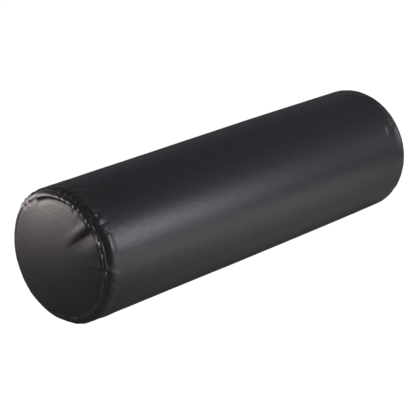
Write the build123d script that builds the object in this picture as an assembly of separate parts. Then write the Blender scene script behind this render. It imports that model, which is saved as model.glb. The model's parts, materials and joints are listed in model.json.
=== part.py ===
"""Round bolster pillow for a massage table: a foam cylinder in a sewn vinyl cover with a zip closure.

Frame: millimetres, +X along the bolster, +Y to the zip side, +Z up.
The origin is the middle of the narrow flat on which the bolster rests.
"""

from build123d import *
from math import acos, asin, cos, degrees, sin
import os

# Overall size
cover_length = 686.0  # between the two end seams, 27 in
cover_radius = 101.6  # outside of the vinyl, 8 in across
rest_flattening = 1.6  # how far the underside is pressed flat by its own weight

# Sewn vinyl cover
vinyl = 1.1  # coated fabric with its knit backing
shoulder_radius = 12.0  # round between the tube and each end seam
seam_inset = 6.0  # each end seam lies this far inside the tube's radius
seam_allowance = 10.0  # turned in behind each end panel
fold_gap = 0.6  # between an end panel and its own turned-back allowance
end_crown = 5.0  # rise of an end panel's middle above its rim

# Filling
wrap_thickness = 11.0  # polyester fibre round the foam
end_pad_inset = 6.0  # the foam stops this far before the shoulder
layer_gap = 0.2  # between one soft layer and the next
wrap_butt_gap = 1.0  # where the two edges of the fibre sheet meet

# Zip, sewn along the tube's one lengthwise join
zip_angle = 12.0  # degrees above level on the +Y side
zip_length = 560.0  # length of the opening
slot_half_width = 5.0  # from the middle of the zip to each hem
hem_half_width = 17.0  # from the middle of the zip to the edge of each turned-in hem
join_gap = 0.3  # between the two edges of the tube beyond the zip
tape_width = 15.0
tape_thickness = 0.6
row_gap = 1.2  # between the two rows of teeth, in which the slider's divider runs
row_width = 2.5
row_height = 1.9
stop_length = 3.0
stop_height = 2.9
tape_tail = 14.0  # tape left beyond each end of the opening
zip_end_room = 2.0  # from the end of the opening to the stops

# Slider and pull tab
slider_clearance = 0.3
slider_length = 12.0
slider_tail_width = 6.0
slider_shoulder_length = 4.0
flange_width = 1.1
plate_thickness = 1.1
divider_length = 4.0
bail_length = 6.4
bail_width = 1.8
bail_thickness = 1.1
tab_bar_radius = 0.6
tab_clearance = 0.35
tab_length = 30.0
tab_width = 6.4
tab_window_length = 4.8  # from the middle of the cross bar
tab_recess = 0.25

# Sewing thread
thread_width = 0.5
thread_height = 0.35
topstitch_setback = 4.0  # from the edge of each hem to the row of stitches
end_stitch_setback = 1.6  # from the fold of an end seam to its stitches

# How far a shape that cuts another runs past its faces
overcut = 1.0

# Places worked out from the sizes above
axis_height = cover_radius - rest_flattening
seam_x = cover_length / 2
seam_radius = cover_radius - seam_inset
shoulder_turn = acos((shoulder_radius - seam_inset) / shoulder_radius)
shoulder_x = seam_x - shoulder_radius * sin(shoulder_turn)
hem_inner_radius = cover_radius - 2 * vinyl
tape_inner_radius = hem_inner_radius - tape_thickness
row_outer_radius = hem_inner_radius + row_height
stop_outer_radius = hem_inner_radius + stop_height
zip_half = zip_length / 2
row_start_x = -zip_half + zip_end_room + stop_length
row_end_x = zip_half - zip_end_room - stop_length
row_outer_edge = row_gap / 2 + row_width
fold_radius = vinyl + fold_gap / 2
rim_x = seam_x + layer_gap + 2 * fold_radius
allowance_edge = seam_radius - seam_allowance

# Slider heights, measured out from the bolster's axis
slider_half_width = row_outer_edge + slider_clearance + flange_width
plate_bottom = row_outer_radius + slider_clearance
plate_top = plate_bottom + plate_thickness
lower_plate_top = tape_inner_radius - slider_clearance - slider_half_width**2 / (2 * tape_inner_radius)
lower_plate_bottom = lower_plate_top - plate_thickness
tab_axis_radius = plate_top + tab_clearance + tab_bar_radius
bail_underside = tab_axis_radius + tab_bar_radius + tab_clearance
bail_top = bail_underside + bail_thickness
slider_x = row_end_x - slider_clearance - slider_length / 2
filling_relief = lower_plate_bottom - slider_clearance

OUTPUT_FOLDER = "parts"


def placed(shape):
    """Lifts a shape made round the X axis so that the bolster rests on the plane Z = 0."""
    return Pos(0, 0, axis_height) * shape


def zip_placed(shape):
    """Turns a shape made on the +Y side to the zip's place, and lifts it."""
    return placed(Rot(zip_angle, 0, 0) * shape)


def width_angle(width, radius):
    """The angle in degrees that a width takes up round the tube at a radius."""
    return degrees(width / radius)


def turned(outline):
    """A body of revolution about the X axis."""
    return revolve(make_face(outline), Axis.X, 360)


def pressed_flat(shape, lift):
    """Cuts a round body off along its underside, lift above the surface that the bolster rests on."""
    reach = 2 * cover_length
    keep = Box(reach, reach, reach, align=(Align.CENTER, Align.CENTER, Align.MIN))
    return shape & Pos(0, 0, lift - axis_height) * keep


def tube_strip(inner, outer, start_width, end_width, start_x, end_x):
    """A strip that follows the tube between two radii, from one distance off the zip's middle to another."""
    middle = (inner + outer) / 2
    first = width_angle(start_width, middle)
    span = width_angle(end_width, middle) - first
    outer_arc = CenterArc((0, 0), outer, first, span)
    inner_arc = CenterArc((0, 0), inner, first, span)
    sides = [Line(outer_arc @ 0, inner_arc @ 0), Line(outer_arc @ 1, inner_arc @ 1)]
    section = make_face([outer_arc, inner_arc, *sides])
    return extrude(Plane.YZ.offset(start_x) * section, amount=end_x - start_x)


def tube_form(skin):
    """The closed body inside the tube and its shoulders, a given depth below the vinyl's outer face."""
    radius = cover_radius - skin
    round_radius = shoulder_radius - skin
    end_x = seam_x - skin
    centre_radius = cover_radius - shoulder_radius
    turn = asin((end_x - shoulder_x) / round_radius)
    half_turn = turn / 2
    middle = (shoulder_x + round_radius * sin(half_turn), centre_radius + round_radius * cos(half_turn))
    end_radius = centre_radius + round_radius * cos(turn)
    right = ThreePointArc((shoulder_x, radius), middle, (end_x, end_radius))
    left = ThreePointArc((-shoulder_x, radius), (-middle[0], middle[1]), (-end_x, end_radius))
    outline = [
        Line((-shoulder_x, radius), (shoulder_x, radius)),
        right,
        Line((end_x, end_radius), (end_x, 0)),
        Line((end_x, 0), (-end_x, 0)),
        Line((-end_x, 0), (-end_x, end_radius)),
        left,
    ]
    return pressed_flat(turned(outline), skin)


def crown_arc(edge_x, edge_radius, rise):
    """The arc from an end panel's rim up to its middle."""
    dome_radius = (edge_radius**2 + rise**2) / (2 * rise)
    centre_x = edge_x + rise - dome_radius
    half_turn = asin(edge_radius / dome_radius) / 2
    middle = (centre_x + dome_radius * cos(half_turn), dome_radius * sin(half_turn))
    return ThreePointArc((edge_x, edge_radius), middle, (edge_x + rise, 0))


def body_panel():
    """One rectangle of vinyl rolled into a tube, its long edges turned in along the zip."""
    wall = tube_form(0) - tube_form(vinyl)
    wall -= Rot(0, 90, 0) * Cylinder(allowance_edge, 2 * cover_length)
    hem = tube_strip(hem_inner_radius, cover_radius - vinyl, -hem_half_width, hem_half_width,
                     -shoulder_x, shoulder_x)
    reach = cover_radius
    join = Pos(0, reach, 0) * Box(2 * cover_length, 2 * reach, join_gap)
    slot = Pos(0, reach, 0) * Box(zip_length, reach, 2 * slot_half_width)
    hem = Rot(zip_angle, 0, 0) * hem
    return placed((wall + hem) - Rot(zip_angle, 0, 0) * (join + slot))


def end_panel():
    """The right-hand disc, crowned, with its edge turned back behind it."""
    lip = seam_radius - fold_radius
    inner_fold = fold_radius - vinyl
    allowance_x = seam_x + layer_gap
    fold_x = allowance_x + fold_radius
    outer_crown = crown_arc(rim_x, allowance_edge, end_crown)
    inner_crown = crown_arc(rim_x - vinyl, allowance_edge, end_crown)
    outline = [
        Line((allowance_x, allowance_edge), (allowance_x, lip)),
        ThreePointArc((allowance_x, lip), (fold_x, seam_radius), (rim_x, lip)),
        Line((rim_x, lip), (rim_x, allowance_edge)),
        outer_crown,
        Line((rim_x + end_crown, 0), (rim_x + end_crown - vinyl, 0)),
        inner_crown,
        Line((rim_x - vinyl, allowance_edge), (rim_x - vinyl, lip)),
        ThreePointArc((rim_x - vinyl, lip), (fold_x, lip + inner_fold), (allowance_x + vinyl, lip)),
        Line((allowance_x + vinyl, lip), (allowance_x + vinyl, allowance_edge)),
        Line((allowance_x + vinyl, allowance_edge), (allowance_x, allowance_edge)),
    ]
    return placed(turned(outline))


def foam_core():
    """The firm foam cylinder."""
    radius = cover_radius - vinyl - 2 * layer_gap - wrap_thickness
    return placed(Rot(0, 90, 0) * Cylinder(radius, 2 * (shoulder_x - end_pad_inset)))


def fibre_wrap():
    """A sheet of polyester fibre wound once round the foam, pressed in along the zip."""
    outer_radius = cover_radius - vinyl - layer_gap
    length = 2 * (shoulder_x - end_pad_inset)
    outer = Rot(0, 90, 0) * Cylinder(outer_radius, length)
    outer = pressed_flat(outer, vinyl + layer_gap)
    bore = Rot(0, 90, 0) * Cylinder(outer_radius - wrap_thickness, 2 * length)
    relief = Pos(0, filling_relief + cover_radius, 0) * Box(2 * length, 2 * cover_radius, 2 * cover_radius)
    butt = Pos(0, -cover_radius, 0) * Box(2 * length, 2 * cover_radius, wrap_butt_gap)
    return placed(outer - bore - Rot(zip_angle, 0, 0) * (relief + butt))


def fibre_pad():
    """The fibre cushion that fills the right-hand end out to its crowned panel."""
    skin = vinyl + layer_gap
    start_x = shoulder_x - end_pad_inset + layer_gap
    reach = cover_length
    block = Pos(start_x, 0, 0) * Box(reach, reach, reach, align=(Align.MIN, Align.CENTER, Align.CENTER))
    body = tube_form(skin) & block
    neck_radius = allowance_edge - layer_gap
    neck_x = rim_x - skin
    plug = [
        Line((start_x, 0), (start_x, neck_radius)),
        Line((start_x, neck_radius), (neck_x, neck_radius)),
        crown_arc(neck_x, neck_radius, end_crown),
        Line((neck_x + end_crown, 0), (start_x, 0)),
    ]
    relief = Pos(0, filling_relief + cover_radius, 0) * Box(2 * reach, 2 * cover_radius, 2 * cover_radius)
    return placed((body + turned(plug)) - Rot(zip_angle, 0, 0) * relief)


def zip_tape(side):
    """One woven tape, sewn under its hem. Side is 1 above the zip and -1 below it."""
    edge = row_gap / 2
    half = zip_half + tape_tail
    widths = sorted((side * edge, side * (edge + tape_width)))
    return zip_placed(tube_strip(tape_inner_radius, hem_inner_radius, *widths, -half, half))


def zip_row(side):
    """One row of teeth, as the plain bar that its coil fills."""
    widths = sorted((side * row_gap / 2, side * row_outer_edge))
    return zip_placed(tube_strip(hem_inner_radius, row_outer_radius, *widths, row_start_x, row_end_x))


def top_stops():
    """The two stops that end the rows where the zip is shut."""
    end_x = row_end_x + stop_length
    both = [sorted((side * row_gap / 2, side * row_outer_edge)) for side in (1, -1)]
    strips = [tube_strip(hem_inner_radius, stop_outer_radius, *w, row_end_x, end_x) for w in both]
    return Compound(children=[zip_placed(strip) for strip in strips])


def bottom_stop():
    """The stop that ties both rows together where the zip is fully open."""
    start_x = row_start_x - stop_length
    strip = tube_strip(hem_inner_radius, stop_outer_radius, -row_outer_edge, row_outer_edge,
                       start_x, row_start_x)
    return zip_placed(strip)


def slider_plan():
    """The slider's outline seen from outside: broad shoulders at the nose and a narrow tail."""
    half_length = slider_length / 2
    tail = slider_tail_width / 2
    shoulder = half_length - slider_shoulder_length
    outline = Polyline(
        (-half_length, -tail), (shoulder, -slider_half_width), (half_length, -slider_half_width),
        (half_length, slider_half_width), (shoulder, slider_half_width), (-half_length, tail), close=True,
    )
    face = make_face(outline)
    return fillet(face.vertices(), flange_width)


def on_slider(radius, sketch):
    """Stands a sketch, drawn along the zip and across it, at a distance out from the bolster's axis."""
    return Plane(origin=(slider_x, radius, 0), x_dir=(1, 0, 0), z_dir=(0, 1, 0)) * sketch


def slider():
    """The slider's two plates, the flanges that hold the rows, the divider, and the bail over them."""
    plan = slider_plan()
    upper = extrude(on_slider(plate_bottom, plan), amount=plate_thickness)
    lower = extrude(on_slider(lower_plate_bottom, plan), amount=plate_thickness)
    flange_bottom = hem_inner_radius + slider_clearance
    rim = extrude(on_slider(flange_bottom, plan), amount=plate_bottom - flange_bottom)
    channel = Box(2 * slider_length, plate_bottom - flange_bottom, 2 * (row_outer_edge + slider_clearance))
    rim -= Pos(slider_x, (plate_bottom + flange_bottom) / 2, 0) * channel
    divider_height = plate_bottom - lower_plate_top
    divider = Box(divider_length, divider_height, row_gap - 2 * slider_clearance)
    divider_x = slider_x + slider_length / 2 - divider_length
    divider = Pos(divider_x, (plate_bottom + lower_plate_top) / 2, 0) * divider
    bail = Box(bail_length, bail_top - plate_top, bail_width)
    bail = fillet(bail.edges().filter_by(Axis.Z).group_by(Axis.Y)[-1], bail_thickness)
    eye = Box(bail_length - 2 * bail_thickness, bail_underside - plate_top, bail_width)
    bail = Pos(slider_x, (plate_top + bail_top) / 2, 0) * bail
    bail -= Pos(slider_x, (plate_top + bail_underside) / 2, 0) * eye
    return zip_placed(upper + lower + rim + divider + bail)


def pull_tab():
    """The tab that swings on the bail, lying back along the closed zip."""
    half_window = bail_width / 2 + tab_clearance
    window = tab_window_length - tab_bar_radius
    paddle = SlotOverall(tab_length, tab_width)
    blank = Pos(-(tab_length / 2 - tab_bar_radius), 0) * paddle
    blank &= Pos(-tab_length / 2, 0) * Rectangle(tab_length, tab_width)
    hole = Pos(-tab_bar_radius - window / 2, 0) * Rectangle(window, 2 * half_window)
    sheet = extrude(on_slider(tab_axis_radius, blank - hole), amount=tab_bar_radius, both=True)
    end_margin = tab_width / 4
    recess_length = tab_length - tab_window_length - 2 * end_margin
    recess_x = -tab_window_length - end_margin - recess_length / 2 + tab_bar_radius
    recess = Pos(recess_x, 0) * SlotOverall(recess_length, tab_width - 2 * end_margin)
    for side in (1, -1):
        face_radius = tab_axis_radius + side * tab_bar_radius
        sheet -= extrude(on_slider(face_radius, recess), amount=-side * tab_recess)
    bar = Pos(slider_x, tab_axis_radius, 0) * Cylinder(tab_bar_radius, 2 * half_window)
    return zip_placed(sheet + bar)


def topstitch_loop(inner, outer):
    """A thread that runs round the zip's opening, beside the hems and across their ends."""
    row = slot_half_width + topstitch_setback
    half = zip_half + topstitch_setback
    outside = tube_strip(inner, outer, -row - thread_width / 2, row + thread_width / 2,
                         -half - thread_width / 2, half + thread_width / 2)
    inside = tube_strip(inner - overcut, outer + overcut, -row + thread_width / 2, row - thread_width / 2,
                        -half + thread_width / 2, half - thread_width / 2)
    return outside - inside


def zip_thread():
    """The needle thread on the vinyl and the bobbin thread under the tapes."""
    needle = topstitch_loop(cover_radius, cover_radius + thread_height)
    bobbin = topstitch_loop(tape_inner_radius - thread_height, tape_inner_radius)
    gap = tube_strip(tape_inner_radius - overcut, tape_inner_radius + overcut, -row_gap / 2, row_gap / 2,
                     -seam_x, seam_x)
    return Compound(children=[zip_placed(part) for part in (needle, *(bobbin - gap).solids())])


def join_thread():
    """The thread that closes the tube's join between the zip and each shoulder, inside the hems."""
    start = zip_half + tape_tail + thread_width
    inner = hem_inner_radius - thread_height
    half = thread_width / 2
    offset = join_gap / 2 + end_stitch_setback
    strips = []
    for side in (1, -1):
        for end in (1, -1):
            row = side * offset
            span = sorted((end * start, end * shoulder_x))
            strips.append(tube_strip(inner, hem_inner_radius, row - half, row + half, *span))
    return Compound(children=[zip_placed(strip) for strip in strips])


def thread_ring(middle_x):
    """A ring of thread a little inside the fold of an end seam."""
    radius = seam_radius - fold_radius - end_stitch_setback
    half = thread_width / 2
    return turned(Polyline(
        (middle_x - thread_height / 2, radius - half), (middle_x + thread_height / 2, radius - half),
        (middle_x + thread_height / 2, radius + half), (middle_x - thread_height / 2, radius + half),
        close=True,
    ))


def end_thread():
    """The thread of the right-hand end seam, lying in the end panel's fold."""
    return placed(thread_ring(seam_x + layer_gap + vinyl + thread_height / 2))


def at_left(shape):
    """The left-hand copy of a right-hand piece."""
    return mirror(shape, about=Plane.YZ)


def pieces():
    """Every piece of the bolster by its node name."""
    right_panel, right_pad, right_thread = end_panel(), fibre_pad(), end_thread()
    return {
        "body_panel": body_panel(),
        "right_end_panel": right_panel,
        "left_end_panel": at_left(right_panel),
        "foam_core": foam_core(),
        "fibre_wrap": fibre_wrap(),
        "right_fibre_pad": right_pad,
        "left_fibre_pad": at_left(right_pad),
        "upper_zip_tape": zip_tape(1),
        "lower_zip_tape": zip_tape(-1),
        "upper_zip_teeth": zip_row(1),
        "lower_zip_teeth": zip_row(-1),
        "zip_top_stops": top_stops(),
        "zip_bottom_stop": bottom_stop(),
        "zip_slider": slider(),
        "zip_pull_tab": pull_tab(),
        "zip_seam_thread": zip_thread(),
        "tube_join_thread": join_thread(),
        "right_seam_thread": right_thread,
        "left_seam_thread": at_left(right_thread),
    }


os.makedirs(OUTPUT_FOLDER, exist_ok=True)
for name, piece in pieces().items():
    export_step(piece, f"{OUTPUT_FOLDER}/{name}.step")
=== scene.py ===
"""The looks of a round bolster: a foam cylinder in a sewn cover of black coated fabric, with a zip."""

import json
import math
import random

import bmesh
import bpy
import numpy as np
from mathutils import Euler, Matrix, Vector, noise


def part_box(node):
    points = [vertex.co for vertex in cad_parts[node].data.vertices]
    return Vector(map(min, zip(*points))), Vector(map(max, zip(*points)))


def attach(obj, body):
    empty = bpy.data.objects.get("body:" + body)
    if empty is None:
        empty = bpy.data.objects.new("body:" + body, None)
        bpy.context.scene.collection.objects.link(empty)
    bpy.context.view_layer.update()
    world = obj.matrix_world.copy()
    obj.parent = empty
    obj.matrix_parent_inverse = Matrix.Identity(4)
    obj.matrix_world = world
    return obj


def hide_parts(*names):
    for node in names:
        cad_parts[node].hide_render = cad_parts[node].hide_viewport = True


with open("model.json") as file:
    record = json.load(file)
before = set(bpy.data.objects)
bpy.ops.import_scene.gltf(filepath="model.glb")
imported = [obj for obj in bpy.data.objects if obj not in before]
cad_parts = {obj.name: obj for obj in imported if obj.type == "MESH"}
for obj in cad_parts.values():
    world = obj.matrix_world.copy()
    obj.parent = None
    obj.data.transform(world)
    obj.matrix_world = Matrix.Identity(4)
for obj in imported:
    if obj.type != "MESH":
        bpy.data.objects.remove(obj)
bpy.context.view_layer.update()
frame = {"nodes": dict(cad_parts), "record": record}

# Sizes of the bolster, read from the frame
BODY = "bolster"
tube_low, tube_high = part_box("body_panel")
left_low, left_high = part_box("left_end_panel")
foam_low, foam_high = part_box("foam_core")
wrap_low, wrap_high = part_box("fibre_wrap")
pad_low, pad_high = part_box("right_fibre_pad")
stops_low, stops_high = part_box("zip_top_stops")
bottom_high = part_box("zip_bottom_stop")[1]
TUBE_RADIUS = (tube_high.y - tube_low.y) / 2
AXIS_Z = tube_high.z - TUBE_RADIUS
SEAM_X = tube_high.x
SEAM_RADIUS = (left_high.y - left_low.y) / 2
FOAM_RADIUS = (foam_high.y - foam_low.y) / 2
JOINTS = {joint["name"]: joint for joint in frame["record"]["behaviour"]["joints"]}
HINGE = Vector(JOINTS["pull_tab_swing"]["pos_m"])
ZIP_ANGLE = math.atan2(HINGE.z - AXIS_Z, HINGE.y)
ZIP_START_X, ZIP_END_X = bottom_high.x, stops_low.x
OPENING_PAST_STOPS = 0.002
OPENING_X = stops_high.x + OPENING_PAST_STOPS

# Cover
SHOULDER = 0.012
SHOULDER_TURN = math.radians(60)
SHOULDER_X = SEAM_X - SHOULDER * math.sin(SHOULDER_TURN)
RIM_ZONE = 0.020
EDGE_HEIGHT = 0.0018
EDGE_ROLL = 0.0022
CROWN = 0.0090
VINYL = 0.0011
HEM_DEPTH = 2 * VINYL
SLOT_HALF = 0.005
JOIN_DEPTH = 0.0011
LIP_DEPTH = 0.005
FLOOR_SOFTNESS = 0.0010
BELLY = 0.0016
BELLY_X, BELLY_REACH = 0.08, 0.26
UNEVENNESS = 0.0004
DISC_UNEVENNESS = 0.0005
LIP_INSET = 0.0012
# Bands beside each seam that are polished and painted lighter, a painted highlight: distance from the seam
# and reach, on the tube and then on the end panels' rims
POLISH_SHEEN_FROM_SEAM, POLISH_SHEEN_REACH = 0.011, 0.008
RIM_POLISH_SHEEN_FROM_SEAM, RIM_POLISH_SHEEN_REACH = 0.0034, 0.003
RIM_BULGE = {-1: 0.0003, 1: 0.0020}

# How each end seam strays from a circle: a lean towards one angle, in degrees, and a wander that is the sum
# of two noises (height, scale, seed) times the share at that end. It dies out along the tube.
SEAM_LEANS = {-1: (2, 0.0032), 1: (160, 0.0034)}
SEAM_WANDER = {-1: 1.0, 1: 0.35}
WANDER_NOISES = ((0.0006, 2.3, 4), (0.0003, 7.0, 5))
SEAM_FADE = 0.006

# Sewing and zip
STITCH_PITCH = 0.0032
STITCH_LENGTH = 0.0026
THREAD_RADIUS = 0.0003
TOPSTITCH_ROW = 0.009
COIL_PITCH = 0.00125
COIL_GAP = 0.0006
COIL_WIDTH = 0.0025
COIL_HEIGHT = 0.0019
COIL_WIRE = 0.00034
COIL_LEAN = 0.16

# The edge turned in round the zip's slot, ring by ring: depth below the cover, and how far it stands back
HEM_RINGS = ((0.0006, -0.0001), (HEM_DEPTH - 0.0004, 0.0), (HEM_DEPTH, 0.002))

# Fineness of the meshes
SHOULDER_ROWS, END_ROWS, MIDDLE_ROWS = 14, 50, 52
END_RUN = 0.075
SLOT_COLUMNS, TUBE_COLUMNS = 9, 378
DISC_INNER_ROWS, DISC_RIM_ROWS, DISC_COLUMNS = 30, 36, 560
FILLING_COLUMNS = 128
SEAM_POINTS = 240
TOPSTITCH_POINTS = 60

# Cloth simulation
CLOTH_ROWS = (5, 24, 26)
CLOTH_RINGS = 14
CLOTH_COLUMNS = 192
CLOTH_FRAMES = 20
CLOTH_PRESSURE = 45.0
CLOTH_ROUGHNESS = 0.0002
SEAM_GATHER = 0.03
RIPPLE_SHARE = {-1: 0.34, 1: 0.06}
RIPPLE_SMOOTHING = 6
PUCKER_LIMIT = 0.0022
# The ripples die down over this run from a seam, and round this angle, where the cover is stretched
TIGHT_FROM, TIGHT_BY = 0.018, 0.060
STRETCHED_ANGLE, STRETCHED_REACH = math.radians(160), math.radians(24)
TIGHTNESS = 0.85

# Camera
AZIMUTH, ELEVATION = -47.71, 19.92
CAMERA_DISTANCE = 2.5226
LENS = 140.5
TARGET = (-0.0330, 0.0, AXIS_Z - 0.0092)

# Studio. Each light: name, place, the point it faces, width, height, watts, colour, grid spread in degrees
FLOOR_REACH = 14
FLOOR_PAINT = (0.34, 0.335, 0.335, 1)
FLOOR_GLOW = 0.97
SKY_COLOUR = (0.88, 0.90, 1.0, 1)
SKY_STRENGTH = 0.20
LIGHTS = (
    ("key_light", (0.06, -0.80, 0.41), (-0.18, 0, 0.12), 0.80, 0.30, 5.0, (0.96, 0.92, 1.0), 180),
    ("front_light", (0.15, -0.66, 1.5), (0.15, -0.60, 0), 0.90, 0.30, 9.0, (1.0, 0.95, 0.96), 40),
    ("left_light", (-0.76, 0.67, 0.19), (-0.35, 0, 0.20), 0.75, 0.34, 2.1, (1.0, 0.90, 0.87), 100),
    ("right_light", (1.5, -0.25, 0.25), (0.35, 0, 0.1), 0.80, 0.40, 1.8, (0.98, 0.96, 1.0), 180),
)

# Gathers that show most beside each end seam: the angle at the seam in degrees, the turn over their
# length, their width, length and depth, where a depth below 0 is a ridge
GATHERS = {
    -1: (
        (86, 3, 0.0026, 0.010, 0.0007), (93, 4, 0.0023, 0.013, 0.0014), (100, 3, 0.0026, 0.014, 0.0013),
        (108, -4, 0.0024, 0.013, 0.0013), (114, -7, 0.0022, 0.022, 0.0014), (119, -2, 0.0024, 0.020, 0.0014),
        (126, 2, 0.0023, 0.013, 0.0015), (131, 2, 0.0023, 0.014, 0.0018), (137, -4, 0.0032, 0.018, -0.0026),
        (143, 2, 0.0028, 0.010, 0.0014), (175, 1, 0.0030, 0.012, 0.0014), (186, 4, 0.0034, 0.014, 0.0010),
        (203, 3, 0.0036, 0.016, 0.0009), (226, -3, 0.0040, 0.016, 0.0010), (38, 3, 0.0026, 0.009, 0.0009),
        (46, -3, 0.0024, 0.009, 0.0010), (55, 3, 0.0024, 0.010, 0.0010),
    ),
    1: (
        (118, -26, 0.0044, 0.050, 0.0008), (127, -24, 0.0042, 0.046, 0.0007), (139, 6, 0.0050, 0.020, 0.0006),
        (190, 4, 0.0040, 0.018, 0.0005), (213, -5, 0.0044, 0.020, 0.0005), (78, 5, 0.0050, 0.024, 0.0003),
    ),
}
# Rounder hollows and swellings of the tube: the end, angle in degrees, distance from the seam, size along
# and across, and height
SWELLINGS = (
    (-1, 157, 0.0010, 0.0040, 0.020, -0.0018), (-1, 156, 0.0095, 0.0065, 0.022, 0.0014),
    (-1, 127, 0.0030, 0.0024, 0.012, -0.0012), (-1, 127, 0.0075, 0.0026, 0.011, 0.0010),
    (1, 148, 0.0250, 0.0055, 0.007, -0.0018), (1, 145, 0.0085, 0.0026, 0.070, -0.0018),
    (1, 183, 0.0120, 0.0034, 0.016, 0.0016),
)
# Creases of the left end panel: angle in degrees, distance from the middle, width above and below, depth
DISC_CREASES = ((140, 0.022, 0.0036, 0.015, 0.0027), (178, 0.060, 0.0022, 0.006, 0.0008))
# Stretches where an end panel stands up over its turned-in edge: from and to angle, width at each, height.
# Each stretch fades over the degrees in RIM_PART_END.
RIM_PARTS = {
    -1: (
        (62, 114, 0.0110, 0.0085, 0.0020), (112, 138, 0.0085, 0.0060, 0.0022),
        (141, 149.5, 0.0070, 0.0060, 0.0016), (153, 161, 0.0070, 0.0060, 0.0016),
        (164, 174.5, 0.0070, 0.0060, 0.0018), (184, 206, 0.0080, 0.0080, 0.0005),
        (212, 238, 0.0080, 0.0080, 0.0005), (246, 257, 0.0080, 0.0080, 0.0007),
        (263, 274, 0.0080, 0.0080, 0.0006), (280, 405, 0.0060, 0.0060, 0.0003),
        (408, 419, 0.0080, 0.0080, 0.0006),
    ),
    1: ((0, 400, 0.0100, 0.0100, 0.0012),),
}
RIM_PART_END = 2.2
# Small gathers in between: how many at each end, and the ranges of their angle, turn, width, length and
# depth, the depth before the seam's share
RANDOM_GATHERS = {-1: 26, 1: 12}
SMALL_GATHER = ((182, 500), (-4, 4), (0.0022, 0.0045), (0.010, 0.020), (0.0001, 0.0005))
# Places where the left seam jogs a little: angle in degrees, shift outwards, width
SEAM_JOGS = ((118, 0.0012, 0.006), (141, -0.0014, 0.006), (156, 0.0006, 0.010), (176, 0.0014, 0.005))


# ---------------------------------------------------------------- small helpers

def around(x, radius, angle):
    """A point at a distance from the bolster's axis, its angle measured up from the +Y side."""
    return Vector((x, radius * math.cos(angle), AXIS_Z + radius * math.sin(angle)))


def hump(distance, width):
    """A smooth hump of height 1."""
    return np.exp(-(distance / width) ** 2)


def ramp(low, high, value):
    """0 below low, 1 above high, and a smooth rise between them."""
    share = np.clip((value - low) / (high - low), 0, 1)
    return share * share * (3 - 2 * share)


def turn_from(angle, centre):
    """The signed turn from centre to angle, the short way round."""
    return (angle - centre + math.pi) % (2 * math.pi) - math.pi


def soft_noise(points, scale, seed):
    """Smooth noise from about -1 to 1 at each point."""
    shift = Vector((seed * 7.3, seed * 3.1, seed * 5.7))
    return np.array([noise.noise(Vector(p) * scale + shift) for p in points])


def new_piece(name, vertices, faces):
    """A mesh object at the origin, shaded smooth."""
    mesh = bpy.data.meshes.new(name)
    mesh.from_pydata(np.asarray(vertices, float).tolist(), [], faces)
    mesh.validate()
    mesh.polygons.foreach_set("use_smooth", [True] * len(mesh.polygons))
    piece = bpy.data.objects.new(name, mesh)
    bpy.context.scene.collection.objects.link(piece)
    return piece


def finish_piece(piece, material, replaced):
    """Gives a piece its material and body, and hides the CAD nodes that it stands for."""
    piece.data.materials.clear()
    piece.data.materials.append(material)
    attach(piece, BODY)
    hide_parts(*replaced)


def grid_faces(rows, columns, skip=None):
    """Quads between the rows and columns of a grid of points whose columns close round."""
    faces = []
    for i in range(rows - 1):
        for j in range(columns):
            if skip is not None and skip[i, j]:
                continue
            k = (j + 1) % columns
            faces.append((i * columns + j, (i + 1) * columns + j, (i + 1) * columns + k, i * columns + k))
    return faces


# ---------------------------------------------------------------- camera, floor and light

def make_camera():
    """The camera, level and at the object's usual three-quarter view."""
    data = bpy.data.cameras.new("camera")
    data.lens = LENS
    data.sensor_width = 36
    data.clip_end = 50
    camera = bpy.data.objects.new("camera", data)
    bpy.context.scene.collection.objects.link(camera)
    azimuth, elevation = math.radians(AZIMUTH), math.radians(ELEVATION)
    level = math.cos(elevation)
    back = Vector((math.sin(azimuth) * level, -math.cos(azimuth) * level, math.sin(elevation)))
    camera.location = Vector(TARGET) + back * CAMERA_DISTANCE
    camera.rotation_euler = (-back).to_track_quat("-Z", "Y").to_euler()
    bpy.context.scene.camera = camera


def soft_light(name, place, aim, width, height, watts, colour, spread):
    """A rectangular studio light that faces a point. Its grid keeps the light within a spread in degrees."""
    data = bpy.data.lights.new(name, "AREA")
    data.shape = "RECTANGLE"
    data.size, data.size_y = width, height
    data.energy = watts
    data.color = colour
    data.spread = math.radians(spread)
    light = bpy.data.objects.new(name, data)
    bpy.context.scene.collection.objects.link(light)
    light.location = place
    light.rotation_euler = (Vector(aim) - Vector(place)).to_track_quat("-Z", "Y").to_euler()
    light.visible_camera = False


def floor_paint():
    """Grey paint that glows white to the camera alone: the floor looks blank but throws little light back."""
    material, tree, shader = new_material("floor_paint")
    shader.inputs["Base Color"].default_value = FLOOR_PAINT
    shader.inputs["Roughness"].default_value = 0.9
    shader.inputs["Specular IOR Level"].default_value = 0.1
    glow = tree.nodes.new("ShaderNodeEmission")
    glow.inputs["Color"].default_value = (1, 1, 1, 1)
    glow.inputs["Strength"].default_value = FLOOR_GLOW
    path = tree.nodes.new("ShaderNodeLightPath")
    off = tree.nodes.new("ShaderNodeEmission")
    off.inputs["Strength"].default_value = 0
    pick = tree.nodes.new("ShaderNodeMixShader")
    both = tree.nodes.new("ShaderNodeAddShader")
    tree.links.new(path.outputs["Is Camera Ray"], pick.inputs[0])
    tree.links.new(off.outputs[0], pick.inputs[1])
    tree.links.new(glow.outputs[0], pick.inputs[2])
    tree.links.new(shader.outputs[0], both.inputs[0])
    tree.links.new(pick.outputs[0], both.inputs[1])
    tree.links.new(both.outputs[0], tree.nodes["Material Output"].inputs["Surface"])
    return material


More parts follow.
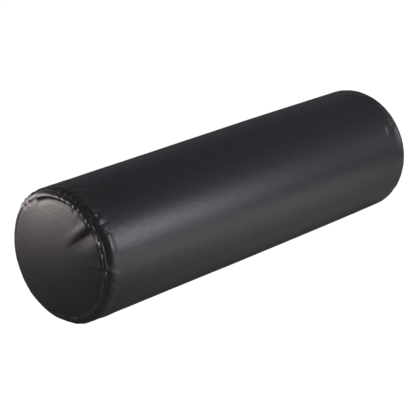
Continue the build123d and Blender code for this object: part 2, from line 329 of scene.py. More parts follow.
def make_studio():
    """A blank floor under soft light."""
    mesh = bpy.data.meshes.new("floor")
    corners = [(x * FLOOR_REACH, y * FLOOR_REACH, 0) for x, y in ((-1, -1), (1, -1), (1, 1), (-1, 1))]
    mesh.from_pydata(corners, [], [(0, 1, 2, 3)])
    floor = bpy.data.objects.new("floor", mesh)
    bpy.context.scene.collection.objects.link(floor)
    mesh.materials.append(floor_paint())
    world = bpy.data.worlds.new("studio")
    world.use_nodes = True
    world.node_tree.nodes["Background"].inputs["Color"].default_value = SKY_COLOUR
    world.node_tree.nodes["Background"].inputs["Strength"].default_value = SKY_STRENGTH
    bpy.context.scene.world = world
    bpy.context.scene.view_settings.view_transform = "Standard"
    for light in LIGHTS:
        soft_light(*light)


# ---------------------------------------------------------------- materials

def new_material(name):
    """A material with its shader, and the tree that they stand in."""
    material = bpy.data.materials.new(name)
    material.use_nodes = True
    tree = material.node_tree
    return material, tree, tree.nodes["Principled BSDF"]


def new_group(name, inputs, outputs):
    """A shader node group with named number inputs and outputs."""
    group = bpy.data.node_groups.new(name, "ShaderNodeTree")
    for label, value in inputs:
        socket = group.interface.new_socket(label, in_out="INPUT", socket_type="NodeSocketFloat")
        socket.default_value = value
    for label in outputs:
        group.interface.new_socket(label, in_out="OUTPUT", socket_type="NodeSocketFloat")
    return group, group.nodes.new("NodeGroupInput"), group.nodes.new("NodeGroupOutput")


def maths(tree, operation, first, second):
    """A maths node on two values, each a number or another node's output."""
    node = tree.nodes.new("ShaderNodeMath")
    node.operation = operation
    for socket, value in zip(node.inputs, (first, second)):
        if isinstance(value, (int, float)):
            socket.default_value = value
        else:
            tree.links.new(value, socket)
    return node.outputs[0]


def texture(tree, kind, scale, **settings):
    """A texture on Object coordinates. The scale is in features per metre."""
    place = tree.nodes.new("ShaderNodeTexCoord")
    node = tree.nodes.new(kind)
    tree.links.new(place.outputs["Object"], node.inputs["Vector"])
    if isinstance(scale, (int, float)):
        node.inputs["Scale"].default_value = scale
    else:
        tree.links.new(scale, node.inputs["Scale"])
    for label, value in settings.items():
        node.inputs[label].default_value = value
    return node


def grain_group():
    """Embossed grain: small rounded pebbles, broken up by a softer ripple."""
    group, given, out = new_group("embossed_grain", [("Scale", 900), ("Ripple", 0.4)], ["Height", "Patch"])
    pebbles = texture(group, "ShaderNodeTexVoronoi", given.outputs["Scale"])
    ripple = texture(group, "ShaderNodeTexNoise", 210, Detail=3.0)
    patch = texture(group, "ShaderNodeTexNoise", 9, Detail=4.0, Roughness=0.6)
    amount = maths(group, "MULTIPLY", ripple.outputs[0], given.outputs["Ripple"])
    height = maths(group, "ADD", pebbles.outputs["Distance"], amount)
    group.links.new(height, out.inputs["Height"])
    group.links.new(patch.outputs[0], out.inputs["Patch"])
    return group


def weave_group():
    """Crossed yarns, for tape and thread."""
    group, given, out = new_group("woven_yarns", [("Scale", 1600)], ["Height"])
    bands = []
    for direction in ("X", "Z"):
        wave = texture(group, "ShaderNodeTexWave", given.outputs["Scale"], Distortion=0.6)
        wave.bands_direction = direction
        bands.append(wave.outputs["Fac"])
    group.links.new(maths(group, "MAXIMUM", *bands), out.inputs["Height"])
    return group


def place_group(tree, group, **values):
    """A group's node in a tree, with its inputs set."""
    node = tree.nodes.new("ShaderNodeGroup")
    node.node_tree = group
    for label, value in values.items():
        node.inputs[label].default_value = value
    return node


def add_bump(tree, shader, height, strength, distance):
    """Bump from a height into the shader's normal."""
    node = tree.nodes.new("ShaderNodeBump")
    node.inputs["Strength"].default_value = strength
    node.inputs["Distance"].default_value = distance
    tree.links.new(height, node.inputs["Height"])
    tree.links.new(node.outputs["Normal"], shader.inputs["Normal"])


def shade_between(tree, shader, socket, mask, low, high):
    """Runs a socket between two values, or two colours, by a mask."""
    if isinstance(low, tuple):
        node = tree.nodes.new("ShaderNodeMix")
        node.data_type = "RGBA"
        # The colour sockets of a Mix node come after its number and vector ones
        node.inputs[6].default_value = (*low, 1)
        node.inputs[7].default_value = (*high, 1)
        tree.links.new(mask, node.inputs[0])
        tree.links.new(node.outputs[2], shader.inputs[socket])
        return
    node = tree.nodes.new("ShaderNodeMapRange")
    node.inputs["To Min"].default_value = low
    node.inputs["To Max"].default_value = high
    tree.links.new(mask, node.inputs["Value"])
    tree.links.new(node.outputs[0], shader.inputs[socket])


def vinyl_material(name, grain, ripple):
    """Black coated fabric: satin, finely grained, a little polished beside each seam, where its colour is
    also painted lighter as a highlight.
    """
    material, tree, shader = new_material(name)
    surface = place_group(tree, grain, Scale=950, Ripple=ripple)
    polish_sheen = tree.nodes.new("ShaderNodeAttribute")
    polish_sheen.attribute_name = "polish_sheen"
    # The lighter colour beside each seam is a painted highlight, with real polish in the roughness; the
    # patches are the vinyl's own uneven tone
    patch = maths(tree, "MULTIPLY", surface.outputs["Patch"], 0.55)
    tone_and_sheen = maths(tree, "ADD", patch, polish_sheen.outputs["Fac"])
    shade_between(tree, shader, "Base Color", tone_and_sheen, (0.0086, 0.0084, 0.0112), (0.0205, 0.0180, 0.0176))
    shade_between(tree, shader, "Roughness", tone_and_sheen, 0.42, 0.33)
    shader.inputs["Specular IOR Level"].default_value = 0.55
    add_bump(tree, shader, surface.outputs["Height"], 0.30, 0.00014)
    return material


def woven_material(name, weave, scale, low, high, roughness):
    """Dyed yarn."""
    material, tree, shader = new_material(name)
    surface = place_group(tree, weave, Scale=scale)
    shade_between(tree, shader, "Base Color", surface.outputs["Height"], low, high)
    shader.inputs["Roughness"].default_value = roughness
    shader.inputs["Sheen Weight"].default_value = 0.15
    add_bump(tree, shader, surface.outputs["Height"], 0.6, 0.0002)
    return material


def coil_material():
    """Moulded nylon."""
    material, tree, shader = new_material("black_nylon")
    speckle = texture(tree, "ShaderNodeTexNoise", 1400, Detail=2.0)
    dark, light = (0.012, 0.012, 0.013), (0.028, 0.028, 0.030)
    shade_between(tree, shader, "Base Color", speckle.outputs[0], dark, light)
    shade_between(tree, shader, "Roughness", speckle.outputs[0], 0.32, 0.5)
    return material


def lacquer_material():
    """Black lacquered die casting, rubbed to bare metal in flecks."""
    material, tree, shader = new_material("black_lacquer")
    flecks = texture(tree, "ShaderNodeTexNoise", 700, Detail=6.0, Roughness=0.7)
    mask = tree.nodes.new("ShaderNodeMapRange")
    mask.inputs["From Min"].default_value = 0.60
    mask.inputs["From Max"].default_value = 0.72
    tree.links.new(flecks.outputs[0], mask.inputs["Value"])
    shade_between(tree, shader, "Base Color", mask.outputs[0], (0.02, 0.02, 0.022), (0.38, 0.37, 0.35))
    shade_between(tree, shader, "Metallic", mask.outputs[0], 0.0, 0.9)
    shade_between(tree, shader, "Roughness", flecks.outputs[0], 0.22, 0.45)
    shader.inputs["Coat Weight"].default_value = 0.4
    add_bump(tree, shader, flecks.outputs[0], 0.15, 0.00005)
    return material


def filling_material(name, scale, low, high, distance):
    """Foam or fibre, by the size of its cells."""
    material, tree, shader = new_material(name)
    cells = texture(tree, "ShaderNodeTexVoronoi", scale)
    shade_between(tree, shader, "Base Color", cells.outputs["Distance"], low, high)
    shader.inputs["Roughness"].default_value = 0.95
    add_bump(tree, shader, cells.outputs["Distance"], 0.8, distance)
    return material


# ---------------------------------------------------------------- cover

def shoulder_points(steps, side):
    """The round between the tube and an end seam, from the seam to the tube."""
    centre = TUBE_RADIUS - SHOULDER
    turns = [SHOULDER_TURN * (1 - i / steps) for i in range(steps + 1)]
    return [(side * (SHOULDER_X + SHOULDER * math.sin(t)), centre + SHOULDER * math.cos(t)) for t in turns]


def tube_profile(shoulder_steps, end_steps, middle_steps):
    """Rows of the tube as (x, radius), from the left seam to the right one, finer near each end."""
    left = shoulder_points(shoulder_steps, -1)
    run = [(-SHOULDER_X + END_RUN * i / end_steps, TUBE_RADIUS) for i in range(1, end_steps + 1)]
    inner = SHOULDER_X - END_RUN
    half = [(-inner + inner * i / middle_steps, TUBE_RADIUS) for i in range(1, middle_steps)]
    first = left + run + half + [(0.0, TUBE_RADIUS)]
    return first + [(-x, r) for x, r in reversed(first[:-1])]


def closed_sheet():
    """The cover's plain shape as one closed sheet, with its profile and the rows that the tube takes up."""
    tube = tube_profile(*CLOTH_ROWS)
    dome = [SEAM_RADIUS * i / CLOTH_RINGS for i in range(1, CLOTH_RINGS)]
    left = [(-SEAM_X - CROWN * (1 - (r / SEAM_RADIUS) ** 2), r) for r in dome]
    profile = left + tube + [(-x, r) for x, r in reversed(left)]
    angles = np.linspace(0, 2 * math.pi, CLOTH_COLUMNS, endpoint=False)
    start = np.array([around(x, r, a) for x, r in profile for a in angles])
    start += CLOTH_ROUGHNESS * soft_noise(start, 90, 1)[:, None] * np.array([1, 0.7, 0.7])
    faces = grid_faces(len(profile), CLOTH_COLUMNS)
    poles = [around(-SEAM_X - CROWN, 0, 0), around(SEAM_X + CROWN, 0, 0)]
    first, last = len(start), len(start) + 1
    base = (len(profile) - 1) * CLOTH_COLUMNS
    for j in range(CLOTH_COLUMNS):
        k = (j + 1) % CLOTH_COLUMNS
        faces += [(first, j, k), (last, base + k, base + j)]
    sheet = new_piece("blown_cover", np.vstack([start, poles]), faces)
    return sheet, profile, slice(len(left), len(left) + len(tube))


def simulated_cover():
    """The filled cover's ripples from a cloth simulation: its rows along X, its angles, and the ripple there.

    A closed sheet in the cover's shape is blown up from inside while the thread of each end seam draws in.
    """
    sheet, profile, rows = closed_sheet()
    gather = sheet.vertex_groups.new(name="gather")
    for row in (rows.start, rows.stop - 1):
        gather.add([row * CLOTH_COLUMNS + j for j in range(CLOTH_COLUMNS)], 1.0, "REPLACE")
    cloth = sheet.modifiers.new("cloth", "CLOTH")
    cloth.settings.quality = 6
    cloth.settings.mass = 0.3
    cloth.settings.tension_stiffness = 30
    cloth.settings.compression_stiffness = 30
    cloth.settings.shear_stiffness = 15
    cloth.settings.bending_stiffness = 0.6
    cloth.settings.use_pressure = True
    cloth.settings.uniform_pressure_force = CLOTH_PRESSURE
    cloth.settings.vertex_group_shrink = "gather"
    cloth.settings.shrink_min = 0.0
    cloth.settings.shrink_max = SEAM_GATHER
    cloth.settings.effector_weights.gravity = 0
    scene = bpy.context.scene
    for step in range(1, CLOTH_FRAMES + 1):
        scene.frame_set(step)
    shape = sheet.evaluated_get(bpy.context.evaluated_depsgraph_get())
    result = np.empty(len(sheet.data.vertices) * 3)
    shape.data.vertices.foreach_get("co", result)
    scene.frame_set(1)
    bpy.data.objects.remove(sheet)
    size = len(profile) * CLOTH_COLUMNS
    result = result.reshape(-1, 3)[:size].reshape(len(profile), CLOTH_COLUMNS, 3)
    ripple = np.hypot(result[rows, :, 1], result[rows, :, 2] - AXIS_Z)
    ripple -= ripple.mean(axis=1, keepdims=True)
    angles = np.linspace(0, 2 * math.pi, CLOTH_COLUMNS, endpoint=False)
    return np.array([x for x, _ in profile[rows]]), angles, PUCKER_LIMIT * np.tanh(ripple / PUCKER_LIMIT)


def ripple_at(blown, rows_x, columns):
    """The simulated ripple, read off at the finer rows and columns of the finished cover."""
    if blown is None:
        return np.zeros((len(rows_x), len(columns)))
    sheet_x, sheet_angles, ripple = blown
    wrapped = np.hstack([ripple, ripple[:, :1]])
    whole_turn = np.append(sheet_angles, 2 * math.pi)
    by_angle = np.array([np.interp(columns % (2 * math.pi), whole_turn, row) for row in wrapped])
    order = np.argsort(sheet_x)
    fine = np.array([np.interp(rows_x, sheet_x[order], column[order]) for column in by_angle.T]).T
    for _ in range(RIPPLE_SMOOTHING):
        fine = 0.5 * fine + 0.25 * (np.roll(fine, 1, axis=1) + np.roll(fine, -1, axis=1))
        fine[1:-1] = 0.5 * fine[1:-1] + 0.25 * (fine[2:] + fine[:-2])
    return fine


def seam_shift(angles, side):
    """How far the end seam strays from a true circle."""
    ring = [(math.cos(a), math.sin(a), side * 2.0) for a in angles]
    wander = sum(height * soft_noise(ring, scale, seed) for height, scale, seed in WANDER_NOISES)
    shift = SEAM_WANDER[side] * wander
    lean_angle, lean = SEAM_LEANS[side]
    shift += lean * np.maximum(np.cos(turn_from(angles, math.radians(lean_angle))), 0) ** 0.7
    if side < 0:
        for angle, height, width in SEAM_JOGS:
            shift += height * hump(turn_from(angles, math.radians(angle)) * SEAM_RADIUS, width)
    return shift


def gathers(side):
    """The gathers beside one end seam: those that show most, and smaller ones in between."""
    draw = random.Random(11 + side)
    small = []
    for _ in range(RANDOM_GATHERS[side]):
        angle, turn, width, length, depth = (draw.uniform(low, high) for low, high in SMALL_GATHER)
        small.append((angle, turn, width, length, SEAM_WANDER[side] * depth))
    return list(GATHERS[side]) + small


def gather_relief(along, angles, side):
    """Dents and the ridges beside them that run from an end seam onto the tube."""
    relief = np.zeros((len(along), len(angles)))
    for angle, turn, width, length, depth in gathers(side):
        centre = np.radians(angle + turn * np.minimum(along / length, 2.0))
        across = turn_from(angles[None, :], centre[:, None]) * TUBE_RADIUS
        spread = width * (1 + 0.6 * along[:, None] / length)
        shape = 0.45 * hump(np.abs(across) - 1.7 * spread, spread * 0.8) - hump(across, spread)
        relief += depth * shape * (ramp(0, 0.003, along) * np.exp(-(along / length) ** 2))[:, None]
    return relief


def tube_relief(rows_x, columns, blown):
    """How far each point of the tube stands off its true cylinder."""
    loose = 1 - TIGHTNESS * ramp(TIGHT_FROM, TIGHT_BY, SEAM_X - np.abs(rows_x))
    loose = loose * np.where(rows_x < 0, RIPPLE_SHARE[-1], RIPPLE_SHARE[1])
    stretched = hump(turn_from(columns, STRETCHED_ANGLE), STRETCHED_REACH)
    relief = loose[:, None] * (1 - TIGHTNESS * stretched)[None, :] * ripple_at(blown, rows_x, columns)
    for side in (-1, 1):
        along = SEAM_X - side * rows_x
        relief += gather_relief(along, columns, side)
        fade = hump(along, SEAM_FADE)
        relief += fade[:, None] * seam_shift(columns, side)[None, :]
    for side, angle, distance, size_along, size_across, height in SWELLINGS:
        near = hump(SEAM_X - side * rows_x - distance, size_along)
        beside = hump(turn_from(columns, math.radians(angle)) * TUBE_RADIUS, size_across)
        relief += height * near[:, None] * beside[None, :]
    points = [(x * 5, math.cos(a), math.sin(a)) for x in rows_x for a in columns]
    broad = soft_noise(points, 1.1, 8).reshape(len(rows_x), len(columns))
    away = ramp(0.006, 0.03, np.abs(turn_from(columns, ZIP_ANGLE)) * TUBE_RADIUS)
    belly = BELLY * hump(rows_x - BELLY_X, BELLY_REACH)[:, None]
    return (relief + belly + UNEVENNESS * broad) * away[None, :]


def rest_on_floor(points):
    """Flattens the cover smoothly where it would pass below the floor."""
    flat = points.copy()
    flat[:, 2] = FLOOR_SOFTNESS * np.logaddexp(0, flat[:, 2] / FLOOR_SOFTNESS)
    flat[:, 2] = np.maximum(flat[:, 2] - FLOOR_SOFTNESS / 4, 0.0)
    return flat


def store_polish_sheen(piece, values):
    """Keeps how far each point is polished and painted lighter as a highlight, for the vinyl."""
    layer = piece.data.attributes.new("polish_sheen", "FLOAT", "POINT")
    layer.data.foreach_set("value", np.asarray(values, np.float32))


def cover_columns():
    """Angles round the tube: fine steps across the zip's slot, even ones elsewhere."""
    edge = SLOT_HALF / TUBE_RADIUS
    slot = np.linspace(-edge, edge, SLOT_COLUMNS)
    rest = np.linspace(edge, 2 * math.pi - edge, TUBE_COLUMNS)[1:-1]
    return ZIP_ANGLE + np.concatenate([slot, rest])


def slot_loop(edges):
    """The grid places round the zip's slot, as (row, column), in order."""
    first, last = edges[0] + 1, edges[1] + 1
    side = SLOT_COLUMNS - 1
    loop = [(first, j) for j in range(side + 1)]
    loop += [(i, side) for i in range(first + 1, last + 1)]
    loop += [(last, j) for j in range(side - 1, -1, -1)]
    return loop + [(i, 0) for i in range(last - 1, first, -1)]


def turned_hem(rows_x, columns, edges, count):
    """The edge turned in round the zip's slot: its points, numbered on from count, and its faces."""
    loop = slot_loop(edges)
    points, faces = [], []
    previous = [i * len(columns) + j for i, j in loop]
    for depth, back in HEM_RINGS:
        current = []
        for i, j in loop:
            x, angle = rows_x[i], columns[j]
            along = edges[0] + 1 < i < edges[1] + 1
            side = np.sign(turn_from(angle, ZIP_ANGLE)) if j in (0, SLOT_COLUMNS - 1) else 0
            end = 0 if along else np.sign(x)
            points.append(around(x + end * back, TUBE_RADIUS - depth, angle + side * back / TUBE_RADIUS))
            current.append(count + len(points) - 1)
        for k in range(len(loop)):
            n = (k + 1) % len(loop)
            faces.append((previous[k], previous[n], current[n], current[k]))
        previous = current
    return points, faces


def make_tube(blown, material):
    """The body panel, with its lips in the end seams, its slot and its turned-in hems."""
    profile = tube_profile(SHOULDER_ROWS, END_ROWS, MIDDLE_ROWS)
    rows_x = np.array([x for x, _ in profile])
    edges = [int(np.abs(rows_x - side * OPENING_X).argmin()) for side in (-1, 1)]
    rows_x[edges] = (-OPENING_X, OPENING_X)
    radii = np.array([r for _, r in profile])
    columns = cover_columns()
    relief = tube_relief(rows_x, columns, blown)
    across = turn_from(columns, ZIP_ANGLE) * TUBE_RADIUS
    beyond = ramp(OPENING_X - 0.001, OPENING_X + 0.004, np.abs(rows_x))
    relief -= JOIN_DEPTH * beyond[:, None] * hump(across, JOIN_DEPTH)[None, :]
    radius = radii[:, None] + relief
    lip_x = SEAM_X - LIP_INSET
    lip = np.full(len(columns), SEAM_RADIUS - LIP_DEPTH)
    all_x = np.concatenate([[-lip_x], rows_x, [lip_x]])
    radius = np.vstack([lip, radius, lip])
    points = np.stack([
        np.repeat(all_x[:, None], len(columns), axis=1),
        radius * np.cos(columns)[None, :],
        AXIS_Z + radius * np.sin(columns)[None, :],
    ], axis=2)
    skip = np.zeros((len(all_x) - 1, len(columns)), bool)
    skip[edges[0] + 1:edges[1] + 1, :SLOT_COLUMNS - 1] = True
    faces = grid_faces(len(all_x), len(columns), skip=skip)
    flat_points = points.reshape(-1, 3)
    hem_points, hem_faces = turned_hem(all_x, columns, edges, len(flat_points))
    everything = rest_on_floor(np.vstack([flat_points, np.array(hem_points)]))
    tube = new_piece("cover_tube", everything, faces + hem_faces)
    along = SEAM_X - np.abs(all_x)
    # Painted highlight, with polish, along the tube's shoulder beside each seam
    polish_sheen = 0.35 * hump(along - POLISH_SHEEN_FROM_SEAM, POLISH_SHEEN_REACH)
    store_polish_sheen(tube, np.concatenate([np.repeat(polish_sheen, len(columns)), np.zeros(len(hem_points))]))
    outward(tube)
    finish_piece(tube, material, ["body_panel"])


def outward(piece):
    """Turns every face of a new piece outwards."""
    shape = bmesh.new()
    shape.from_mesh(piece.data)
    bmesh.ops.recalc_face_normals(shape, faces=shape.faces)
    shape.to_mesh(piece.data)
    shape.free()


def disc_height(radius):
    """How far an end panel stands outside its seam, across a true disc with no rim."""
    height = EDGE_HEIGHT + CROWN * (1 - (radius / SEAM_RADIUS) ** 2)
    roll = np.clip((radius - (SEAM_RADIUS - EDGE_ROLL)) / EDGE_ROLL, 0, 1)
    return height * np.sqrt(1 - roll ** 2) + 0.0002


def rim_relief(radius, angles, side):
    """The raised rim where the panel lies over its own turned-in edge, stretch by stretch."""
    inward = (SEAM_RADIUS - radius)[:, None]
    relief = np.zeros((len(radius), len(angles)))
    for start, end, first_width, last_width, height in RIM_PARTS[side]:
        off = np.degrees(turn_from(angles, math.radians((start + end) / 2)))
        half = (end - start) / 2
        part = 1 - ramp(half - RIM_PART_END, half + RIM_PART_END, np.abs(off))
        width = (first_width + (last_width - first_width) * ramp(-half, half, off))[None, :]
        ridge = ramp(0, 0.45, inward / width) * (1 - ramp(0.55, 1, inward / width))
        ridge = ridge - 0.3 * hump(inward / width - 1.2, 0.3)
        relief += height * ridge * part[None, :]
    return relief


def disc_relief(radius, angles, side):
    """Creases and gathers of an end panel."""
    rim = radius[:, None] / SEAM_RADIUS
    y = radius[:, None] * np.cos(angles)[None, :]
    z = radius[:, None] * np.sin(angles)[None, :]
    points = [(a, b, side) for a, b in zip(y.ravel() * 20, z.ravel() * 20)]
    relief = DISC_UNEVENNESS * soft_noise(points, 1.0, 9).reshape(y.shape)
    for angle, _, width, _, depth in gathers(side):
        across = turn_from(angles, math.radians(angle + 2)) * SEAM_RADIUS
        lumps = hump(across, width * 1.3)[None, :] * ramp(0.88, 0.96, rim) * (1 - ramp(0.985, 1.0, rim))
        relief -= 0.5 * depth * lumps
    if side < 0:
        for angle, reach, above, below, depth in DISC_CREASES:
            across = turn_from(angles, math.radians(angle))[None, :] * radius[:, None]
            strength = ramp(reach, SEAM_RADIUS, radius)[:, None] * (1 - ramp(0.955, 0.99, rim))
            valley = np.where(across < 0, hump(across, above), hump(across, below))
            fold = 0.35 * hump(across + 3.0 * above, 1.8 * above) - valley
            relief += depth * strength * fold
    return relief


def make_disc(side, material):
    """One end panel, from its middle out over the rim and into the seam."""
    name = "left_end_cover" if side < 0 else "right_end_cover"
    inner = np.linspace(0.0015, SEAM_RADIUS - RIM_ZONE - 0.0006, DISC_INNER_ROWS)
    outer = np.linspace(SEAM_RADIUS - RIM_ZONE, SEAM_RADIUS - 0.0002, DISC_RIM_ROWS)
    radius = np.concatenate([inner, outer])
    columns = DISC_COLUMNS
    angles = np.linspace(0, 2 * math.pi, columns, endpoint=False)
    height = disc_height(radius)[:, None] + disc_relief(radius, angles, side)
    height = height + rim_relief(radius, angles, side)
    fade = ramp(0.55, 1.0, radius / SEAM_RADIUS)
    bulge = RIM_BULGE[side] * hump(radius - (SEAM_RADIUS - 0.0012), 0.0011)
    strayed = (radius + bulge)[:, None] + fade[:, None] * seam_shift(angles, side)[None, :]
    x = side * (SEAM_X + np.maximum(height, 0.0001))
    lips = (-0.0004, side * (SEAM_X - 0.0010)), (-LIP_DEPTH, side * (SEAM_X - 0.0006))
    edge = strayed[-1:]
    strayed = np.vstack([strayed] + [edge + inset for inset, _ in lips])
    x = np.vstack([x] + [np.full((1, columns), lip_x) for _, lip_x in lips])
    points = np.stack([x, strayed * np.cos(angles), AXIS_Z + strayed * np.sin(angles)], axis=2)
    faces = grid_faces(len(x), columns)
    pole = (side * (SEAM_X + disc_height(np.array([0.0]))[0]), 0, AXIS_Z)
    flat = np.vstack([points.reshape(-1, 3), pole])
    faces += [(len(flat) - 1, j, (j + 1) % columns) for j in range(columns)]
    disc = new_piece(name, flat, faces)
    # Painted highlight, with polish, along the panel's rim beside the seam
    polish_sheen = 0.9 * hump(radius - (SEAM_RADIUS - RIM_POLISH_SHEEN_FROM_SEAM), RIM_POLISH_SHEEN_REACH)
    store_polish_sheen(disc, np.append(np.repeat(np.append(polish_sheen, (0, 0)), columns), 0))
    outward(disc)
    finish_piece(disc, material, ["left_end_panel" if side < 0 else "right_end_panel"])


# ---------------------------------------------------------------- filling

def make_filling(name, profile, material, node, inset=0.0008):
    """A closed body of revolution with a slightly uneven surface, a little inside its solid."""
    columns = FILLING_COLUMNS
    angles = np.linspace(0, 2 * math.pi, columns, endpoint=False)
    points = np.array([around(x, r, a) for x, r in profile for a in angles])
    uneven = inset * (0.5 + 0.5 * soft_noise(points, 70, 12))
    centre = np.stack([np.zeros(len(points)), points[:, 1], points[:, 2] - AXIS_Z], axis=1)
    length = np.maximum(np.linalg.norm(centre, axis=1), 1e-6)
    points = points - centre / length[:, None] * uneven[:, None]
    faces = grid_faces(len(profile), columns)
    if profile[0] != profile[-1]:
        base = (len(profile) - 1) * columns
        faces += [tuple(range(columns)), tuple(base + j for j in reversed(range(columns)))]
    points[:, 2] = np.maximum(points[:, 2], 0.0014)
    piece = new_piece(name, points, faces)
    outward(piece)
    finish_piece(piece, material, [node])


def rounded_run(end, radius, corner, steps, rows):
    """Rows of a cylinder with rounded ends."""
    turns = [math.pi / 2 * i / steps for i in range(steps + 1)]
    first = [
        (-end + corner * (1 - math.sin(t)), radius - corner * (1 - math.cos(t))) for t in reversed(turns)
    ]
    middle = [((-end + corner) * (1 - 2 * i / rows), radius) for i in range(1, rows)]
    return first + middle + [(-x, r) for x, r in reversed(first)]


def make_fillings(foam, fibre):
    """The foam, the fibre sheet round it, and the fibre in each end."""
    wrap_outer = (wrap_high.z - wrap_low.z) / 2 - 0.0035
    block = rounded_run(foam_high.x, FOAM_RADIUS, 0.004, 4, 60)
    make_filling("foam_block", block, foam, "foam_core")
    lining_radius = FOAM_RADIUS + 0.0002
    end = wrap_high.x
    sheet = rounded_run(end, wrap_outer, 0.003, 4, 60)
    lining = [(end, lining_radius), (-end, lining_radius)]
    make_filling("fibre_sheet", sheet + lining + sheet[:1], fibre, "fibre_wrap", 0.0002)
    for side, name, node in ((-1, "left_fibre_cushion", "left_fibre_pad"),
                             (1, "right_fibre_cushion", "right_fibre_pad")):
        flat, crown = pad_low.x, pad_high.x
        rows = [(0.002, flat), (wrap_outer - 0.004, flat), (wrap_outer - 0.001, flat + 0.002),
                (SEAM_RADIUS - 0.010, SEAM_X - 0.004), (SEAM_RADIUS - 0.022, SEAM_X),
                (0.002, crown - 0.001)]
        make_filling(name, [(side * x, r) for r, x in rows], fibre, node)


# ---------------------------------------------------------------- stitches and zip coil

def new_tree(name, inputs):
    """A geometry tree with named inputs."""
    tree = bpy.data.node_groups.new(name, "GeometryNodeTree")
    tree.interface.new_socket("Geometry", in_out="INPUT", socket_type="NodeSocketGeometry")
    for label, kind in inputs:
        tree.interface.new_socket(label, in_out="INPUT", socket_type=kind)
    tree.interface.new_socket("Geometry", in_out="OUTPUT", socket_type="NodeSocketGeometry")
    return tree, tree.nodes.new("NodeGroupInput"), tree.nodes.new("NodeGroupOutput")


def end_tree(tree, given, out, geometry):
    """Realizes the instances and sets the material, then closes the tree."""
    real = tree.nodes.new("GeometryNodeRealizeInstances")
    paint = tree.nodes.new("GeometryNodeSetMaterial")
    tree.links.new(geometry, real.inputs[0])
    tree.links.new(real.outputs[0], paint.inputs["Geometry"])
    tree.links.new(given.outputs["Material"], paint.inputs["Material"])
    tree.links.new(paint.outputs[0], out.inputs[0])


def stitch_tree():
    """Rows of stitches along any path."""
    number = "NodeSocketFloat"
    tree, given, out = new_tree("stitch_row", [("Pitch", number), ("Length", number), ("Radius", number),
                                               ("Material", "NodeSocketMaterial")])
    walk = tree.nodes.new("GeometryNodeResampleCurve")
    walk.mode = "LENGTH"
    stitch = tree.nodes.new("GeometryNodeMeshUVSphere")
    stitch.inputs["Segments"].default_value = 6
    stitch.inputs["Rings"].default_value = 6
    stitch.inputs["Radius"].default_value = 0.5
    size = tree.nodes.new("ShaderNodeCombineXYZ")
    width = maths_geometry(tree, given.outputs["Radius"], 2.0)
    shape = tree.nodes.new("GeometryNodeTransform")
    tangent = tree.nodes.new("GeometryNodeInputTangent")
    aim = tree.nodes.new("FunctionNodeAlignRotationToVector")
    aim.axis = "Z"
    spread = tree.nodes.new("GeometryNodeInstanceOnPoints")
    link = tree.links.new
    link(given.outputs["Geometry"], walk.inputs["Curve"])
    link(given.outputs["Pitch"], walk.inputs["Length"])
    for axis in ("X", "Y"):
        link(width, size.inputs[axis])
    link(given.outputs["Length"], size.inputs["Z"])
    link(stitch.outputs["Mesh"], shape.inputs["Geometry"])
    link(size.outputs[0], shape.inputs["Scale"])
    link(walk.outputs[0], spread.inputs["Points"])
    link(shape.outputs[0], spread.inputs["Instance"])
    link(tangent.outputs[0], aim.inputs["Vector"])
    link(aim.outputs[0], spread.inputs["Rotation"])
    end_tree(tree, given, out, spread.outputs[0])
    return tree


def maths_geometry(tree, value, factor):
    """A value times a number, in a geometry tree."""
    node = tree.nodes.new("ShaderNodeMath")
    node.operation = "MULTIPLY"
    tree.links.new(value, node.inputs[0])
    node.inputs[1].default_value = factor
    return node.outputs[0]


def coil_tree():
    """Loops of a zip's coil along a path."""
    number = "NodeSocketFloat"
    tree, given, out = new_tree("zip_coil", [("Pitch", number), ("Wire", number),
                                             ("Size", "NodeSocketVector"), ("Turn", "NodeSocketRotation"),
                                             ("Material", "NodeSocketMaterial")])
    walk = tree.nodes.new("GeometryNodeResampleCurve")
    walk.mode = "LENGTH"
    loop = tree.nodes.new("GeometryNodeCurvePrimitiveCircle")
    loop.inputs["Resolution"].default_value = 10
    loop.inputs["Radius"].default_value = 0.5
    shape = tree.nodes.new("GeometryNodeTransform")
    wire = tree.nodes.new("GeometryNodeCurvePrimitiveCircle")
    wire.inputs["Resolution"].default_value = 5
    skin = tree.nodes.new("GeometryNodeCurveToMesh")
    spread = tree.nodes.new("GeometryNodeInstanceOnPoints")
    link = tree.links.new
    link(given.outputs["Geometry"], walk.inputs["Curve"])
    link(given.outputs["Pitch"], walk.inputs["Length"])
    link(loop.outputs["Curve"], shape.inputs["Geometry"])
    link(given.outputs["Size"], shape.inputs["Scale"])
    link(given.outputs["Wire"], wire.inputs["Radius"])
    link(shape.outputs[0], skin.inputs["Curve"])
    link(wire.outputs["Curve"], skin.inputs["Profile Curve"])
    link(walk.outputs[0], spread.inputs["Points"])
    link(skin.outputs[0], spread.inputs["Instance"])
    link(given.outputs["Turn"], spread.inputs["Rotation"])
    end_tree(tree, given, out, spread.outputs[0])
    return tree


def run_tree(name, tree, paths, values):
    """Runs a tree along paths and returns the result as one plain mesh piece."""
    curve = bpy.data.curves.new(name + "_path", "CURVE")
    curve.dimensions = "3D"
    for points, closed in paths:
        line = curve.splines.new("POLY")
        line.points.add(len(points) - 1)
        line.points.foreach_set("co", [c for p in points for c in (*p, 1)])
        line.use_cyclic_u = closed
    host = bpy.data.objects.new(name + "_path", curve)
    bpy.context.scene.collection.objects.link(host)
    modifier = host.modifiers.new("nodes", "NODES")
    modifier.node_group = tree
    for item in tree.interface.items_tree:
        if item.in_out == "INPUT" and item.name in values:
            modifier[item.identifier] = values[item.name]
    graph = bpy.context.evaluated_depsgraph_get()
    mesh = bpy.data.meshes.new_from_object(host.evaluated_get(graph), depsgraph=graph)
    mesh.name = name
    bpy.data.objects.remove(host)
    mesh.polygons.foreach_set("use_smooth", [True] * len(mesh.polygons))
    piece = bpy.data.objects.new(name, mesh)
    bpy.context.scene.collection.objects.link(piece)
    return piece


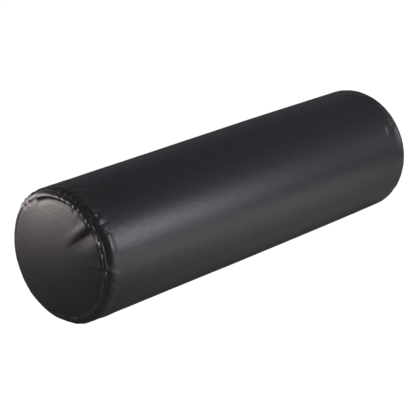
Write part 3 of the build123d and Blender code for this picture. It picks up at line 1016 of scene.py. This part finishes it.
def make_seam_stitches(tree, thread):
    """The stitches that show in the groove of each end seam."""
    for side, name, node in ((-1, "left_end_stitches", "left_seam_thread"),
                             (1, "right_end_stitches", "right_seam_thread")):
        angles = np.linspace(0, 2 * math.pi, SEAM_POINTS, endpoint=False)
        radius = SEAM_RADIUS + seam_shift(angles, side) + 0.0003
        ring = [around(side * (SEAM_X + 0.0001), r, a) for r, a in zip(radius, angles)]
        piece = run_tree(name, tree, [(ring, True)], {
            "Pitch": STITCH_PITCH, "Length": STITCH_LENGTH, "Radius": THREAD_RADIUS, "Material": thread})
        finish_piece(piece, thread, [node])


def make_topstitches(tree, thread):
    """The row of stitches round the zip's opening."""
    reach = OPENING_X + 0.002
    half = TOPSTITCH_ROW / TUBE_RADIUS
    radius = TUBE_RADIUS + 0.0001
    steps = TOPSTITCH_POINTS
    top = [around(-reach + 2 * reach * i / steps, radius, ZIP_ANGLE + half) for i in range(steps + 1)]
    bottom = [around(p.x, radius, ZIP_ANGLE - half) for p in reversed(top)]
    ends = 5
    right = [around(reach, radius, ZIP_ANGLE + half * (1 - 2 * i / ends)) for i in range(1, ends)]
    left = [around(-reach, radius, ZIP_ANGLE - half * (1 - 2 * i / ends)) for i in range(1, ends)]
    piece = run_tree("zip_topstitches", tree, [(top + right + bottom + left, True)], {
        "Pitch": STITCH_PITCH, "Length": STITCH_LENGTH, "Radius": THREAD_RADIUS, "Material": thread})
    finish_piece(piece, thread, ["zip_seam_thread"])


def make_coils(tree, nylon):
    """The two rows of the zip's coil."""
    radius = TUBE_RADIUS - HEM_DEPTH + COIL_HEIGHT / 2
    inset = COIL_WIRE + COIL_PITCH / 2
    for side, name in ((1, "upper"), (-1, "lower")):
        width = side * (COIL_GAP + COIL_WIDTH / 2)
        angle = ZIP_ANGLE + width / radius
        row = [around(x, radius, angle) for x in (ZIP_START_X + inset, ZIP_END_X - inset)]
        turn = Euler((0, math.pi / 2, 0)).to_matrix()
        turn = Euler((angle, 0, 0)).to_matrix() @ turn
        lean = Euler((0, 0, side * COIL_LEAN)).to_matrix()
        piece = run_tree(f"{name}_zip_coil", tree, [(row, False)], {
            "Pitch": COIL_PITCH, "Wire": COIL_WIRE,
            "Size": (COIL_HEIGHT - 2 * COIL_WIRE, COIL_WIDTH - 2 * COIL_WIRE, 1.0),
            "Turn": (turn @ lean).to_euler(), "Material": nylon})
        finish_piece(piece, nylon, [f"{name}_zip_teeth"])


def paint_nodes(names, material):
    """Gives CAD nodes that stay in view a finished material."""
    for name in names:
        data = frame["nodes"][name].data
        data.materials.clear()
        data.materials.append(material)


# ---------------------------------------------------------------- the bolster

make_camera()
make_studio()

grain = grain_group()
tube_vinyl = vinyl_material("tube_vinyl", grain, 9.0)
end_vinyl = vinyl_material("end_vinyl", grain, 3.0)
weave = weave_group()
thread = woven_material("black_thread", weave, 2600, (0.010, 0.010, 0.011), (0.05, 0.05, 0.052), 0.6)
tape = woven_material("black_tape", weave, 1500, (0.008, 0.008, 0.009), (0.03, 0.03, 0.032), 0.85)
nylon = coil_material()
lacquer = lacquer_material()
foam = filling_material("cream_foam", 700, (0.72, 0.66, 0.50), (0.86, 0.82, 0.70), 0.0006)
fibre = filling_material("white_fibre", 260, (0.80, 0.80, 0.78), (0.93, 0.93, 0.92), 0.0012)

blown = simulated_cover()
make_tube(blown, tube_vinyl)
for side in (-1, 1):
    make_disc(side, end_vinyl)
make_fillings(foam, fibre)

stitches = stitch_tree()
make_seam_stitches(stitches, thread)
make_topstitches(stitches, thread)
make_coils(coil_tree(), nylon)
paint_nodes(["upper_zip_tape", "lower_zip_tape"], tape)
paint_nodes(["tube_join_thread"], thread)
paint_nodes(["zip_top_stops", "zip_bottom_stop", "zip_slider", "zip_pull_tab"], lacquer)
